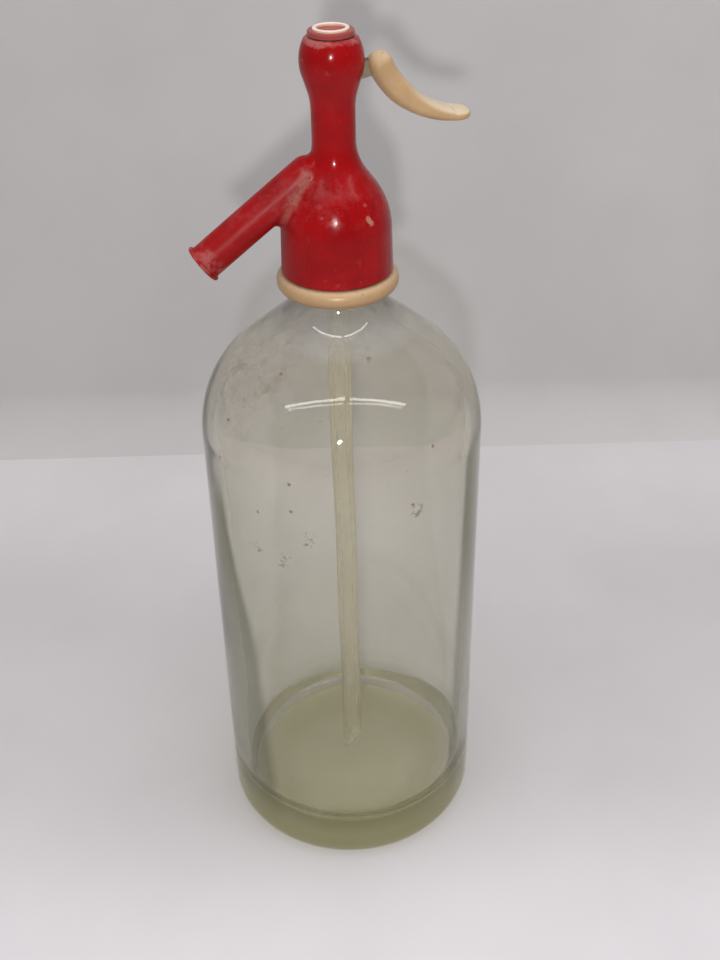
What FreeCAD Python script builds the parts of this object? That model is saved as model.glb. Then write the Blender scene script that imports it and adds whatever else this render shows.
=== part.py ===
import FreeCAD, Part
import math
import os

from FreeCAD import Vector

# Soda siphon: a thick glass bottle with a moulded lever head.
# Millimetres and degrees. +Z is up, the origin is the middle of the bottle's foot,
# the spout points along -X and the lever along +X.
# Each body of revolution is drawn in the XZ half plane, as (radius, height).

# ---------------------------------------------------------------- glass bottle
bottle_radius = 50.0
heel_width = 10.5
heel_height = 10.2
foot_recess_radius = 27.0
foot_recess_depth = 2.4
side_height = 179.04  # where the straight side turns into the shoulder
shoulder_run = 32.0
shoulder_rise = 38.0
shoulder_slope = 1.2  # radius lost for each millimetre of rise, above the curve
neck_radius = 14.2
neck_fillet = 4.0
neck_length = 20.5  # from the top of that fillet to the mouth
glass_wall = 5.5
floor_thickness = 16.0
floor_corner = 12.0
mouth_radius = 8.8
mouth_round = 0.8
bead_reach = 1.1
bead_height = 4.4
bead_round = 1.8

# ---------------------------------------------------------------- neck closure
bead_pass_gap = 0.2  # the collar slides over the bead
thread_gap = 0.15
sleeve_wall = 1.3
split_ring_height = 2.2
split_ring_gap = 0.1
split_ring_slit = 0.8
ring_height = 6.4
ring_reach = 1.8  # how far the collar stands out from the skirt
ring_round = 3.0
ring_gap = 0.2
mouth_gasket_height = 1.6
gasket_margin = 0.7
holder_flange_height = 1.6
holder_sleeve_length = 9.0
holder_gap = 0.3
tube_seal_height = 1.2

# -------------------------------------------------------------------- dip tube
tube_radius = 4.0
tube_wall = 2.1
tube_foot_gap = 3.0
tube_foot_slant = 12.0  # height of the slanted cut across its foot
tube_fit = 0.05
tube_socket_depth = 2.4

# ------------------------------------------------------------------ head shell
skirt_wall = 1.65
skirt_depth = 16.3
skirt_draft = 0.4
skirt_side_height = 13.9
skirt_edge_round = 0.5
shoulder_round = 26.0
stalk_fillet = 17.0
head_slope = 36.5  # steepest lean of the shoulder, from upright
stalk_wall = 2.3
bulb_radius = 10.05
bulb_height = 67.6  # widest place of the bulb, over the foot of the skirt
bulb_fillet = 20.0
bulb_side_round = 14.0
bulb_top_round = 14.0
bulb_slope = 18.0
rim_height = 7.1  # flat rim, over the widest place
rim_round = 1.4

# ----------------------------------------------------------------------- spout
spout_angle = 36.7
spout_axis_height = 39.9  # where its axis meets the head's axis, over the foot of the skirt
spout_length = 55.7
spout_root = 11.4  # rounded inner end, along the spout's axis
spout_radius = 5.85
spout_blend = 2.0  # fillet where the spout grows out of the head
spout_flange_radius = 6.7
spout_flange_height = 1.2
spout_flange_round = 0.5
spout_bore_radius = 4.2
spout_bore_depth = 26.0
spout_passage_radius = 2.8

# ----------------------------------------------------------------------- valve
press_gap = 0.05
seat_radius = 6.6
seat_height = 4.2
seat_bore_radius = 2.0
seat_nozzle_radius = 3.3
seat_nozzle_height = 2.6
seat_washer_height = 1.0
chamber_radius = 4.9
passage_land = 1.75  # solid above the spout passage
web_height = 1.4
web_gap = 0.3
stem_radius = 2.4
stem_fit = 0.06
stem_seal_height = 2.6
gland_height = 7.0
rubber_radius = 3.9
rubber_height = 1.6
rubber_proud = 0.4
cup_wall = 0.4
cup_height = 3.9
plunger_bore = 4.7

# ------------------------------------------------------- lever and plunger head
pin_radius = 1.2
pin_fit = 0.05
pin_press_gap = 0.02
pin_wall = 0.5
pin_far_reach = 6.3
pin_near_reach = 4.7
pin_blind_gap = 0.2
pivot_drop = 4.2  # under the widest place of the bulb
lever_swing = 14.0
eye_radius = 2.5
toe_radius = 1.5
toe_gap = 0.1
arm_thickness = 3.2
arm_side_gap = 0.4
arm_half_height = 2.4
slot_clearance = 0.5
tang_half_height = 1.3
yoke_gap = 0.3
yoke_roof = 3.1
yoke_floor = 3.7
yoke_spigot_radius = 2.3
yoke_spigot_height = 1.2
stem_screw_radius = 1.6
stem_screw_length = 3.1

handle_gap = 1.1
handle_rise = 1.9  # centre of the handle's root, over the pivot
handle_arc_radius = 29.9
handle_root_angle = 65.0
handle_tip_angle = -0.4
handle_root_half = 3.9
handle_tip_half = 1.6
handle_swell = 1.44
handle_root_width = 8.5
handle_tip_width = 11.7
handle_tip_round = 4.5
handle_squareness = 2.6
handle_section_points = 16
handle_middle_sections = 6
handle_end_shares = (0.015, 0.1, 0.3, 0.6, 1.0)
handle_tip_shares = (0.006, 0.05, 0.16, 0.35, 0.65, 1.0)
tang_angles = (50.0, 38.0, 26.0)

# ------------------------------------------------------------------ cap, spring
cap_bore_radius = 5.95
cap_bore_depth = 4.4
cap_thread_gap = 0.1
cap_spigot_length = 3.7
cap_gasket_height = 0.4
cap_gasket_radius = 6.6
cap_radius = 7.2
cap_flange_height = 1.5
cap_flange_round = 0.5
cap_ring_radius = 5.65
cap_ring_wall = 1.35
cap_ring_height = 1.6
cap_ring_sink = 0.9
cap_ring_round = 0.4
cap_centre_sink = 0.8  # centre disc, under the top of its ring
cap_roof = 2.0
spring_washer_height = 0.4
spring_radius = 3.2
spring_wire = 0.8
spring_turns = 3.5
spring_gap = 0.3
spring_end_gap = 0.05

# --------------------------------------------------------------- worked-out sizes
shoulder_lean = math.atan(shoulder_slope)


def slope_start(wall):
    """Where the shoulder's elliptic arc, inside the outer skin by wall, turns into the straight slope:
    the arc's parameter angle in radians, the radius and the height."""
    run = shoulder_run - wall
    rise = shoulder_rise - wall
    end = math.atan(shoulder_slope * rise / run)
    return end, bottle_radius - shoulder_run + run * math.cos(end), side_height + rise * math.sin(end)


def neck_turn(wall, neck, fillet):
    """The height at which a neck of that radius turns upright, over the fillet at the slope's top."""
    _, radius, height = slope_start(wall)
    return height + (radius - neck) / shoulder_slope + fillet * math.tan(shoulder_lean / 2)


bottle_height = neck_turn(0, neck_radius, neck_fillet) + neck_length
bead_radius = neck_radius + bead_reach
bead_base = bottle_height - bead_height
ring_bore = bead_radius + bead_pass_gap
sleeve_radius = ring_bore + sleeve_wall
skirt_bore = sleeve_radius + thread_gap
skirt_radius = skirt_bore + skirt_wall
ring_radius = skirt_radius + ring_reach

holder_base = bottle_height + mouth_gasket_height
seal_base = holder_base + holder_flange_height
ceiling = seal_base + tube_seal_height
skirt_base = ceiling - skirt_depth
ring_top = skirt_base - ring_gap
ring_base = ring_top - ring_height
sleeve_top = bead_base - split_ring_height

tube_bore = tube_radius - tube_wall
tube_base = floor_thickness + tube_foot_gap
tube_hole = tube_radius + tube_fit

stalk_radius = plunger_bore + stalk_wall
bulb_centre = skirt_base + bulb_height
rim_top = bulb_centre + rim_height

spout_centre = skirt_base + spout_axis_height
spout_lean = math.radians(spout_angle)
spout_direction = Vector(-math.cos(spout_lean), 0, -math.sin(spout_lean))

seat_top = ceiling + seat_height
nozzle_top = seat_top + seat_washer_height + seat_nozzle_height
chamber_base = seat_top + seat_washer_height
passage_top = (
    spout_centre
    - chamber_radius * math.tan(spout_lean)
    + spout_passage_radius / math.cos(spout_lean)
)
web_base = passage_top + passage_land
web_top = web_base + web_height
gland_base = web_top + stem_seal_height
gland_top = gland_base + gland_height
cup_base = nozzle_top + rubber_proud
cup_top = cup_base + cup_height

pivot_x = plunger_bore + pin_wall + pin_radius
pivot_z = bulb_centre - pivot_drop
yoke_radius = plunger_bore - yoke_gap
yoke_slot_top = pivot_z + toe_radius + toe_gap
swing_drop = pivot_x * math.sin(math.radians(lever_swing))
yoke_slot_base = pivot_z - toe_radius - swing_drop - toe_gap
yoke_base = yoke_slot_base - yoke_floor
yoke_top = yoke_slot_top + yoke_roof

root_x = bulb_radius + handle_gap + handle_root_half
root_z = pivot_z + handle_rise
arc_x = root_x + handle_arc_radius * math.sin(math.radians(handle_root_angle))
arc_z = root_z + handle_arc_radius * math.cos(math.radians(handle_root_angle))

cap_base = rim_top - cap_spigot_length
flange_base = rim_top + cap_gasket_height
flange_top = flange_base + cap_flange_height
cap_ring_base = flange_top - cap_ring_sink
cap_ring_top = cap_ring_base + cap_ring_height
cap_centre_top = cap_ring_top - cap_centre_sink
pocket_top = cap_centre_top - cap_roof
pocket_radius = spring_radius + spring_gap
washer_base = pocket_top - spring_washer_height


# ------------------------------------------------------------------------ helpers
def at(radius, height):
    """A point of a profile, in the XZ plane."""
    return Vector(radius, 0, height)


def polyline(*points):
    """Straight edges through (radius, height) points."""
    places = [at(*point) for point in points]
    return [Part.LineSegment(a, b).toShape() for a, b in zip(places, places[1:])]


def arc(centre, radius, start, end):
    """A round edge about a (radius, height) centre, between two angles from the +radius direction."""
    spots = []
    for angle in (start, (start + end) / 2, end):
        turn = math.radians(angle)
        spots.append(at(centre[0] + radius * math.cos(turn), centre[1] + radius * math.sin(turn)))
    return Part.Arc(*spots).toShape()


def ellipse_arc(centre, half_run, half_rise, start, end):
    """A stretch of an ellipse about a (radius, height) centre, between two parameter angles."""
    side = at(centre[0] + half_run, centre[1])
    crown = at(centre[0], centre[1] + half_rise)
    if half_run >= half_rise:
        curve = Part.Ellipse(side, crown, at(*centre))
        return Part.ArcOfEllipse(curve, math.radians(start), math.radians(end)).toShape()
    curve = Part.Ellipse(crown, side, at(*centre))
    return Part.ArcOfEllipse(curve, math.radians(90 - end), math.radians(90 - start)).toShape()


def turned(edges):
    """The solid that a closed profile sweeps round the Z axis."""
    wire = Part.Wire(Part.__sortEdges__(edges))
    return Part.Face(wire).revolve(Vector(0, 0, 0), Vector(0, 0, 1), 360)


def turned_outline(*points):
    """A solid of revolution from the corners of its profile."""
    return turned(polyline(*points, points[0]))


def rod(radius, base, top):
    """An upright cylinder on the Z axis."""
    return Part.makeCylinder(radius, top - base, at(0, base))


def ring(inner, outer, base, top):
    """An upright tube on the Z axis."""
    return rod(outer, base, top).cut(rod(inner, base, top))


def cross_rod(radius, x, z, near, far):
    """A cylinder along Y, from y = near to y = far."""
    return Part.makeCylinder(radius, far - near, Vector(x, near, z), Vector(0, 1, 0))


def save(shape, name):
    """Write one piece to its own file."""
    shape.exportStep(f"parts/{name}.step")


# -------------------------------------------------------------------- glass bottle
def shoulder(wall, neck, fillet):
    """The shoulder and the neck's foot, inside the outer skin by wall: an elliptic arc, a straight
    slope and a concave fillet that ends where the neck turns upright."""
    centre = (bottle_radius - shoulder_run, side_height)
    end, top_radius, top_height = slope_start(wall)
    turn = neck_turn(wall, neck, fillet)
    foot = (
        neck + fillet * (1 - math.cos(shoulder_lean)),
        turn - fillet * math.sin(shoulder_lean),
    )
    return [
        ellipse_arc(centre, shoulder_run - wall, shoulder_rise - wall, 0, math.degrees(end)),
        *polyline((top_radius, top_height), foot),
        arc((neck + fillet, turn), fillet, 180, 180 + math.degrees(shoulder_lean)),
    ]


def make_glass_bottle():
    inner_fillet = neck_fillet + neck_radius - mouth_radius
    neck_foot = neck_turn(0, neck_radius, neck_fillet)
    bore_foot = neck_turn(glass_wall, mouth_radius, inner_fillet)
    inside_radius = bottle_radius - glass_wall
    flat_radius = inside_radius - floor_corner
    recess_curve = (foot_recess_radius**2 + foot_recess_depth**2) / (2 * foot_recess_depth)
    recess_sweep = math.degrees(math.asin(foot_recess_radius / recess_curve))
    edges = [
        arc((0, foot_recess_depth - recess_curve), recess_curve, 90 - recess_sweep, 90),
        *polyline((foot_recess_radius, 0), (bottle_radius - heel_width, 0)),
        ellipse_arc((bottle_radius - heel_width, heel_height), heel_width, heel_height, -90, 0),
        *polyline((bottle_radius, heel_height), (bottle_radius, side_height)),
        *shoulder(0, neck_radius, neck_fillet),
        *polyline(
            (neck_radius, neck_foot),
            (neck_radius, bead_base),
            (bead_radius, bead_base),
            (bead_radius, bottle_height - bead_round),
        ),
        arc((bead_radius - bead_round, bottle_height - bead_round), bead_round, 0, 90),
        *polyline(
            (bead_radius - bead_round, bottle_height),
            (mouth_radius + mouth_round, bottle_height),
        ),
        arc((mouth_radius + mouth_round, bottle_height - mouth_round), mouth_round, 90, 180),
        *polyline((mouth_radius, bottle_height - mouth_round), (mouth_radius, bore_foot)),
        *shoulder(glass_wall, mouth_radius, inner_fillet),
        *polyline((inside_radius, side_height), (inside_radius, floor_thickness + floor_corner)),
        arc((flat_radius, floor_thickness + floor_corner), floor_corner, -90, 0),
        *polyline((flat_radius, floor_thickness), (0, floor_thickness), (0, foot_recess_depth)),
    ]
    return turned(edges)


# -------------------------------------------------------------------- neck closure
def make_neck_ring():
    """The collar: a rounded rim under the skirt, and a sleeve that runs up inside the skirt."""
    rim = ring_radius - ring_round
    return turned(
        [
            *polyline((rim, ring_base), (ring_bore, ring_base), (ring_bore, sleeve_top)),
            *polyline((ring_bore, sleeve_top), (sleeve_radius, sleeve_top), (sleeve_radius, ring_top)),
            *polyline((sleeve_radius, ring_top), (rim, ring_top)),
            arc((rim, ring_top - ring_round), ring_round, 0, 90),
            *polyline((ring_radius, ring_top - ring_round), (ring_radius, ring_base + ring_round)),
            arc((rim, ring_base + ring_round), ring_round, -90, 0),
        ]
    )


def make_split_ring(side):
    """One half of the ring under the bead, on the +Y side (side = 1) or the -Y side (side = -1)."""
    whole = ring(neck_radius + split_ring_gap, sleeve_radius, sleeve_top, bead_base)
    width = 2 * ring_radius
    near = split_ring_slit / 2 if side > 0 else -split_ring_slit / 2 - width
    keep = Part.makeBox(2 * width, width, split_ring_height, Vector(-width, near, sleeve_top))
    return whole.common(keep)


def make_mouth_gasket():
    outer = bead_radius - gasket_margin
    return ring(mouth_radius + holder_gap / 2, outer, bottle_height, holder_base)


def make_tube_holder():
    sleeve_outer = mouth_radius - holder_gap
    sleeve_base = bottle_height - holder_sleeve_length
    flange = rod(bead_radius - gasket_margin / 2, holder_base, seal_base)
    return flange.fuse(rod(sleeve_outer, sleeve_base, holder_base)).removeSplitter().cut(
        rod(tube_hole, sleeve_base, seal_base)
    )


def make_tube_seal():
    return ring(tube_hole, bead_radius - gasket_margin / 2, seal_base, ceiling)


def make_dip_tube():
    """A plain tube whose foot is cut off at a slant, so that it can't close itself on the floor."""
    top = ceiling + tube_socket_depth - tube_fit
    tube = ring(tube_bore, tube_radius, tube_base, top)
    tip = (-tube_radius, tube_base)
    heel = (tube_radius, tube_base)
    slant_top = (tube_radius, tube_base + tube_foot_slant)
    wedge = Part.Face(Part.Wire(polyline(tip, heel, slant_top, tip)))
    wedge.translate(Vector(0, -tube_radius, 0))
    return tube.cut(wedge.extrude(Vector(0, 2 * tube_radius, 0)))


# ---------------------------------------------------------------------- head shell
def head_profile():
    """The outside of the head, from the foot of the skirt up to the rim of the bulb."""
    lean = math.radians(head_slope)
    waist_radius = skirt_radius - skirt_draft
    waist = skirt_base + skirt_side_height
    shoulder_end = (
        waist_radius - shoulder_round * (1 - math.cos(lean)),
        waist + shoulder_round * math.sin(lean),
    )
    fillet_start_radius = stalk_radius + stalk_fillet * (1 - math.cos(lean))
    fillet_start_height = shoulder_end[1] + (shoulder_end[0] - fillet_start_radius) / math.tan(lean)
    stalk_foot = fillet_start_height + stalk_fillet * math.sin(lean)

    tilt = math.radians(bulb_slope)
    bulb_start = (
        bulb_radius - bulb_side_round * (1 - math.cos(tilt)),
        bulb_centre - bulb_side_round * math.sin(tilt),
    )
    swell_radius = stalk_radius + bulb_fillet * (1 - math.cos(tilt))
    swell_height = bulb_start[1] - (bulb_start[0] - swell_radius) / math.tan(tilt)
    stalk_head = swell_height - bulb_fillet * math.sin(tilt)

    crown_reach = bulb_top_round - rim_round
    crown_rise = rim_height - rim_round
    crown = math.degrees(math.asin(crown_rise / crown_reach))
    crown_radius = bulb_radius - bulb_top_round + math.sqrt(crown_reach**2 - crown_rise**2)
    return [
        *polyline(
            (0, skirt_base),
            (skirt_radius - skirt_edge_round, skirt_base),
        ),
        arc((skirt_radius - skirt_edge_round, skirt_base + skirt_edge_round), skirt_edge_round, -90, 0),
        *polyline((skirt_radius, skirt_base + skirt_edge_round), (waist_radius, waist)),
        arc((waist_radius - shoulder_round, waist), shoulder_round, 0, head_slope),
        *polyline(shoulder_end, (fillet_start_radius, fillet_start_height)),
        arc((stalk_radius + stalk_fillet, stalk_foot), stalk_fillet, 180, 180 + head_slope),
        *polyline((stalk_radius, stalk_foot), (stalk_radius, stalk_head)),
        arc((stalk_radius + bulb_fillet, stalk_head), bulb_fillet, 180 - bulb_slope, 180),
        *polyline((swell_radius, swell_height), bulb_start),
        arc((bulb_radius - bulb_side_round, bulb_centre), bulb_side_round, -bulb_slope, 0),
        arc((bulb_radius - bulb_top_round, bulb_centre), bulb_top_round, 0, crown),
        arc((crown_radius, rim_top - rim_round), rim_round, crown, 90),
        *polyline((crown_radius, rim_top), (0, rim_top), (0, skirt_base)),
    ]


def spout_rod(radius, start, end):
    """A cylinder on the spout's axis, between two distances from the head's axis."""
    origin = at(0, spout_centre) + spout_direction * start
    return Part.makeCylinder(radius, end - start, origin, spout_direction)


def edges_of_kind(shape, kind):
    """The edges of a shape whose curve is of one kind."""
    return [edge for edge in shape.Edges if not edge.Degenerated and isinstance(edge.Curve, kind)]


def head_outside():
    """The turned head with the spout growing out of it: a tube with a rounded root and a flanged mouth."""
    root = Part.makeSphere(spout_radius, at(0, spout_centre) + spout_direction * spout_root)
    tube = spout_rod(spout_radius, spout_root, spout_length).fuse(root).removeSplitter()
    body = turned(head_profile()).fuse(tube).removeSplitter()
    body = body.makeFillet(spout_blend, edges_of_kind(body, Part.BSplineCurve))
    flange = spout_rod(spout_flange_radius, spout_length - spout_flange_height, spout_length)
    flange = flange.makeFillet(spout_flange_round, edges_of_kind(flange, Part.Circle))
    return body.fuse(flange).removeSplitter()


def lever_slot():
    """The opening in the back of the bulb that the lever's arm swings in."""
    half_width = arm_thickness / 2 + arm_side_gap
    low = pivot_z - eye_radius - swing_drop
    high = pivot_z + toe_radius + swing_drop + slot_clearance
    return Part.makeBox(2 * bulb_radius, 2 * half_width, high - low, Vector(0, -half_width, low))


def make_head_shell():
    inside = rod(skirt_bore, skirt_base, ceiling)
    for radius, base, top in (
        (seat_radius, ceiling, chamber_base),
        (chamber_radius, chamber_base, web_base),
        (stem_radius + web_gap, web_base, web_top),
        (plunger_bore, web_top, rim_top),
        (cap_bore_radius, rim_top - cap_bore_depth, rim_top),
    ):
        inside = inside.fuse(rod(radius, base, top))
    inside = inside.fuse(spout_rod(spout_passage_radius, chamber_radius / 2, spout_length))
    inside = inside.fuse(spout_rod(spout_bore_radius, spout_length - spout_bore_depth, spout_length))
    near = -pin_near_reach - pin_blind_gap
    pin_hole = cross_rod(pin_radius + pin_press_gap, pivot_x, pivot_z, near, bulb_radius)
    return head_outside().cut(inside).cut(lever_slot()).cut(pin_hole)


# --------------------------------------------------------------------------- valve
def make_valve_seat():
    """The brass seat: a bush with a socket for the dip tube and a raised nozzle lip."""
    body = rod(seat_radius - press_gap, ceiling, seat_top)
    nozzle = rod(seat_nozzle_radius, seat_top, nozzle_top)
    socket = rod(tube_hole, ceiling, ceiling + tube_socket_depth)
    return body.fuse(nozzle).removeSplitter().cut(socket).cut(rod(seat_bore_radius, ceiling, nozzle_top))


def make_seat_washer():
    return ring(seat_nozzle_radius + press_gap, seat_radius - press_gap, seat_top, chamber_base)


def make_valve_rubber():
    return rod(rubber_radius, nozzle_top, nozzle_top + rubber_height)


def make_plunger_stem():
    """The stem, with the cup for the valve rubber at its foot and a screw end at its head."""
    cup = rod(rubber_radius + press_gap + cup_wall, cup_base, cup_top)
    stem = rod(stem_radius, cup_top, yoke_base)
    screw = rod(stem_screw_radius, yoke_base, yoke_base + stem_screw_length)
    seat = rod(rubber_radius + press_gap, cup_base, nozzle_top + rubber_height)
    return cup.fuse(stem).fuse(screw).removeSplitter().cut(seat)


def make_stem_seal():
    return ring(stem_radius + stem_fit, plunger_bore - press_gap, web_top, gland_base)


def make_gland_bush():
    return ring(stem_radius + stem_fit, plunger_bore - press_gap, gland_base, gland_top)


def make_plunger_yoke():
    """The block that the lever's toe lifts: a slot open towards the lever, a spring spigot on top."""
    block = rod(yoke_radius, yoke_base, yoke_top)
    spigot = rod(yoke_spigot_radius, yoke_top, yoke_top + yoke_spigot_height)
    half_width = arm_thickness / 2 + arm_side_gap
    back = toe_radius + toe_gap
    slot = Part.makeBox(
        back + plunger_bore,
        2 * half_width,
        yoke_slot_top - yoke_slot_base,
        Vector(-back, -half_width, yoke_slot_base),
    )
    screw_hole = rod(stem_screw_radius + press_gap, yoke_base, yoke_base + stem_screw_length + press_gap)
    return block.fuse(spigot).removeSplitter().cut(slot).cut(screw_hole)


# --------------------------------------------------------------------------- lever
def handle_centre(angle):
    """The handle's centreline at an angle from straight down, towards the bulb."""
    turn = math.radians(angle)
    return arc_x - handle_arc_radius * math.sin(turn), arc_z - handle_arc_radius * math.cos(turn)


def handle_half(angle):
    """Half the handle's thickness: it grows evenly from the tip and is full near the root."""
    share = (angle - handle_tip_angle) / (handle_root_angle - handle_tip_angle)
    return handle_tip_half + (handle_root_half - handle_tip_half) * min(1, handle_swell * share)


def rounding(distance, radius):
    """How far a round end of that radius has opened at a distance from its very end, from 0 to 1."""
    inward = 1 - min(distance, radius) / radius
    return math.sqrt(1 - inward * inward)


def handle_length():
    """The handle's length along its centreline, round ends included."""
    sweep = math.radians(handle_root_angle - handle_tip_angle)
    return handle_root_half + handle_arc_radius * sweep + handle_tip_half


def handle_section(distance):
    """The handle's closed cross-section at a distance from its root end, measured along the centreline.
    Its outline is |across / width| ** p + |up / thickness| ** p = 1, with p = handle_squareness."""
    left = handle_length() - distance
    turned_angle = handle_root_angle - math.degrees((distance - handle_root_half) / handle_arc_radius)
    angle = min(handle_root_angle, max(handle_tip_angle, turned_angle))
    over = (turned_angle - angle) * math.radians(handle_arc_radius)
    turn = math.radians(angle)
    x, z = handle_centre(angle)
    centre = at(x - over * math.cos(turn), z + over * math.sin(turn))
    up = at(math.sin(turn), math.cos(turn))
    open_root = rounding(distance, handle_root_half)
    half = handle_half(angle) * open_root * rounding(left, handle_tip_half)
    share = distance / handle_length()
    wide = handle_root_width + (handle_tip_width - handle_root_width) * math.sqrt(share)
    corner = handle_tip_round * (1 - rounding(left, handle_tip_round))
    across = wide / 2 * open_root - corner
    power = 2 / handle_squareness
    spots = []
    for index in range(handle_section_points):
        phase = 2 * math.pi * (index + 0.5) / handle_section_points
        side = math.copysign(abs(math.cos(phase)) ** power, math.cos(phase))
        rise = math.copysign(abs(math.sin(phase)) ** power, math.sin(phase))
        spots.append(centre + Vector(0, across * side, 0) + up * (half * rise))
    curve = Part.BSplineCurve()
    curve.interpolate(spots, PeriodicFlag=True)
    return Part.Wire(curve.toShape())


def capsule(start, end, half):
    """A bar with round ends in the XZ plane, as thick as the lever's arm."""
    depth = Vector(0, arm_thickness, 0)
    near = Vector(0, -arm_thickness / 2, 0)
    run = at(*end) - at(*start)
    side = at(-run.z, run.x).normalize() * half
    corners = [at(*start) + side, at(*end) + side, at(*end) - side, at(*start) - side]
    bar = Part.Face(Part.makePolygon([*corners, corners[0]]))
    bar.translate(near)
    solid = bar.extrude(depth)
    for x, z in (start, end):
        solid = solid.fuse(cross_rod(half, x, z, -arm_thickness / 2, arm_thickness / 2))
    return solid


def make_lever_arm():
    """The steel tongue: a toe in the yoke, an eye round the pin and a tang inside the handle."""
    pivot = (pivot_x, pivot_z)
    root = (root_x, root_z)
    arm = capsule((0, pivot_z), pivot, toe_radius)
    arm = arm.fuse(cross_rod(eye_radius, *pivot, -arm_thickness / 2, arm_thickness / 2))
    arm = arm.fuse(capsule(pivot, root, arm_half_height))
    start = root
    for angle in tang_angles:
        end = handle_centre(angle)
        arm = arm.fuse(capsule(start, end, tang_half_height))
        start = end
    hole = cross_rod(pin_radius + pin_fit, *pivot, -arm_thickness, arm_thickness)
    return arm.removeSplitter().cut(hole)


def make_lever_handle(arm):
    """The moulded handle: one skin through cross-sections that lie closer together at its round ends."""
    length = handle_length()
    root_steps = [handle_root_half * share for share in handle_end_shares]
    tip_steps = [length - handle_tip_round * share for share in reversed(handle_tip_shares)]
    gap = (tip_steps[0] - root_steps[-1]) / (handle_middle_sections + 1)
    middle_steps = [root_steps[-1] + gap * (index + 1) for index in range(handle_middle_sections)]
    sections = [handle_section(step) for step in [*root_steps, *middle_steps, *tip_steps]]
    return Part.makeLoft(sections, True, False).cut(arm)


def make_lever_pin():
    return cross_rod(pin_radius, pivot_x, pivot_z, -pin_near_reach, pin_far_reach)


# --------------------------------------------------------------------- cap, spring
def make_top_cap():
    """The screw cap: a spigot with a spring pocket, a flange and a groove for the ivory ring."""
    spigot = cap_bore_radius - cap_thread_gap
    ring_inner = cap_ring_radius - cap_ring_wall
    edge = cap_radius - cap_flange_round
    return turned(
        [
            *polyline(
                (edge, flange_top),
                (cap_ring_radius, flange_top),
                (cap_ring_radius, cap_ring_base),
                (ring_inner, cap_ring_base),
                (ring_inner, cap_centre_top),
                (0, cap_centre_top),
                (0, pocket_top),
                (pocket_radius, pocket_top),
                (pocket_radius, cap_base),
                (spigot, cap_base),
                (spigot, flange_base),
                (cap_radius, flange_base),
                (cap_radius, flange_top - cap_flange_round),
            ),
            arc((edge, flange_top - cap_flange_round), cap_flange_round, 0, 90),
        ]
    )


def make_cap_ring():
    inner = cap_ring_radius - cap_ring_wall
    lap = cap_ring_round
    return turned(
        [
            *polyline(
                (inner + lap, cap_ring_top),
                (cap_ring_radius - lap, cap_ring_top),
            ),
            arc((cap_ring_radius - lap, cap_ring_top - lap), lap, 0, 90),
            *polyline(
                (cap_ring_radius, cap_ring_top - lap),
                (cap_ring_radius, cap_ring_base),
                (inner, cap_ring_base),
                (inner, cap_ring_top - lap),
            ),
            arc((inner + lap, cap_ring_top - lap), lap, 90, 180),
        ]
    )


def make_cap_gasket():
    return ring(cap_bore_radius, cap_gasket_radius, rim_top, flange_base)


def make_spring_washer():
    return ring(yoke_spigot_radius, pocket_radius - press_gap, washer_base, pocket_top)


def make_return_spring():
    """A round wire wound on a helix between the yoke and the washer."""
    wire_radius = spring_wire / 2
    base = yoke_top + wire_radius + spring_end_gap
    height = washer_base - wire_radius - spring_end_gap - base
    coil_radius = spring_radius - wire_radius
    helix = Part.makeHelix(height / spring_turns, height, coil_radius)
    helix.translate(at(0, base))
    section = Part.Wire(Part.makeCircle(wire_radius, at(coil_radius, base), Vector(0, 1, 0)))
    return Part.Wire(helix.Edges).makePipeShell([section], True, True)


lever_arm = make_lever_arm()
pieces = {
    "glass_bottle": make_glass_bottle(),
    "neck_ring": make_neck_ring(),
    "split_ring_left": make_split_ring(1),
    "split_ring_right": make_split_ring(-1),
    "mouth_gasket": make_mouth_gasket(),
    "tube_holder": make_tube_holder(),
    "tube_seal": make_tube_seal(),
    "dip_tube": make_dip_tube(),
    "head_shell": make_head_shell(),
    "valve_seat": make_valve_seat(),
    "seat_washer": make_seat_washer(),
    "valve_rubber": make_valve_rubber(),
    "plunger_stem": make_plunger_stem(),
    "stem_seal": make_stem_seal(),
    "gland_bush": make_gland_bush(),
    "plunger_yoke": make_plunger_yoke(),
    "return_spring": make_return_spring(),
    "spring_washer": make_spring_washer(),
    "cap_gasket": make_cap_gasket(),
    "top_cap": make_top_cap(),
    "cap_ring": make_cap_ring(),
    "lever_pin": make_lever_pin(),
    "lever_arm": lever_arm,
    "lever_handle": make_lever_handle(lever_arm),
}

os.makedirs("parts", exist_ok=True)
for name, shape in pieces.items():
    save(shape, name)
    print(name, len(shape.Solids), round(shape.Volume, 1), shape.isValid())
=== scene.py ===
import math
from functools import partial

import bpy
import numpy as np
from mathutils import Matrix, Vector


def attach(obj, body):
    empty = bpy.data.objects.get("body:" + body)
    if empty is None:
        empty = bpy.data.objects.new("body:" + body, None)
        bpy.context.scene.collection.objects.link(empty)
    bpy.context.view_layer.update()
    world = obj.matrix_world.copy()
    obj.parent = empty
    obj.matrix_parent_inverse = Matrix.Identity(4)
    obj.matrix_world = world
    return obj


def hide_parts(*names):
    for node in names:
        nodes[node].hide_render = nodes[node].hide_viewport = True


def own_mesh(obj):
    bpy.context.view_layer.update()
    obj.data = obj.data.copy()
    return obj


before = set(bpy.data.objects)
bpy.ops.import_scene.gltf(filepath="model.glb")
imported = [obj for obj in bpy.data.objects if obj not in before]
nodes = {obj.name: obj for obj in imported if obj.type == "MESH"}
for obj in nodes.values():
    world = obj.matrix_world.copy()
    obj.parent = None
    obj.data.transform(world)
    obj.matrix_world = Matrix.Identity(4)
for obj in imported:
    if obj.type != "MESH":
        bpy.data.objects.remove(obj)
bpy.context.view_layer.update()

# Sizes are in millimetres where a name says _mm, and in metres everywhere else.
MM = 0.001

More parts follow.
